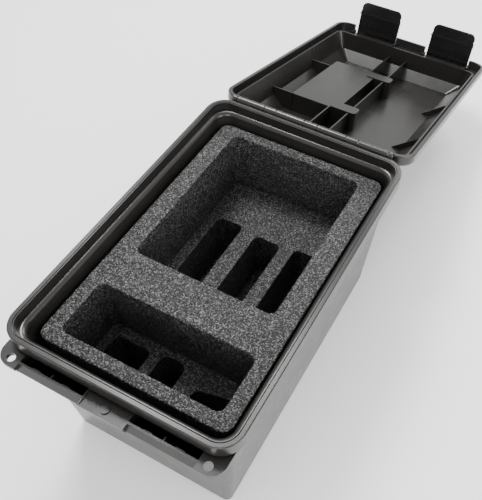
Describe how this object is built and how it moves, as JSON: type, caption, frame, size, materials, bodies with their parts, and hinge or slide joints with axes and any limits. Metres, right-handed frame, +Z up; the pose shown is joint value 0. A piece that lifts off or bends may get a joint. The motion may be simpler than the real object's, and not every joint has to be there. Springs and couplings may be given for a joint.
{
  "type": "hinged hard carrying case",
  "caption": "Open hard plastic carrying case with a hinged lid, front latches, a fold-away carry handle and a cut foam insert.",
  "frame": {"origin": "centre of the tub's flat underside", "axes": "+Z up, +Y towards the hinge and the open lid, +X to the right seen from the latch side"},
  "size_m": [0.226, 0.7154, 0.1879],
  "materials": {
    "case_plastic": "satin moulded plastic",
    "handle_plastic": "satin moulded plastic",
    "latch_plastic": "satin moulded plastic",
    "steel_pin": "plain steel",
    "foam": "bead foam with a pale fleck"
  },
  "bodies": {
    "base": {"base_tub": "case_plastic", "hinge_rod": "steel_pin", "foam_upper": "foam", "foam_lower": "foam", "foam_base_pad": "foam"},
    "lid": {"lid_shell": "case_plastic", "latch_pin_left": "steel_pin", "latch_pin_right": "steel_pin", "handle_pin_front": "steel_pin", "handle_pin_back": "steel_pin"},
    "latch_left": {"latch_left": "latch_plastic"},
    "latch_right": {"latch_right": "latch_plastic"},
    "handle": {"carry_handle": "handle_plastic"}
  },
  "joints": [
    {"name": "lid_hinge", "type": "hinge", "parent": "base", "child": "lid", "pos_m": [0, 0.1777, 0.184], "axis": [1, 0, 0], "range_deg": [0, 195.8]},
    {"name": "latch_left_pivot", "type": "hinge", "parent": "lid", "child": "latch_left", "pos_m": [-0.05525, 0.50642, 0.07124], "axis": [1, 0, 0], "range_deg": [-150, 0]},
    {"name": "latch_right_pivot", "type": "hinge", "parent": "lid", "child": "latch_right", "pos_m": [0.05525, 0.50642, 0.07124], "axis": [1, 0, 0], "range_deg": [-150, 0]},
    {"name": "handle_pivot", "type": "hinge", "parent": "lid", "child": "handle", "pos_m": [-0.001, 0.33229, 0.10596], "axis": [0, 0.9622, -0.2723], "range_deg": [-5, 90]}
  ]
}
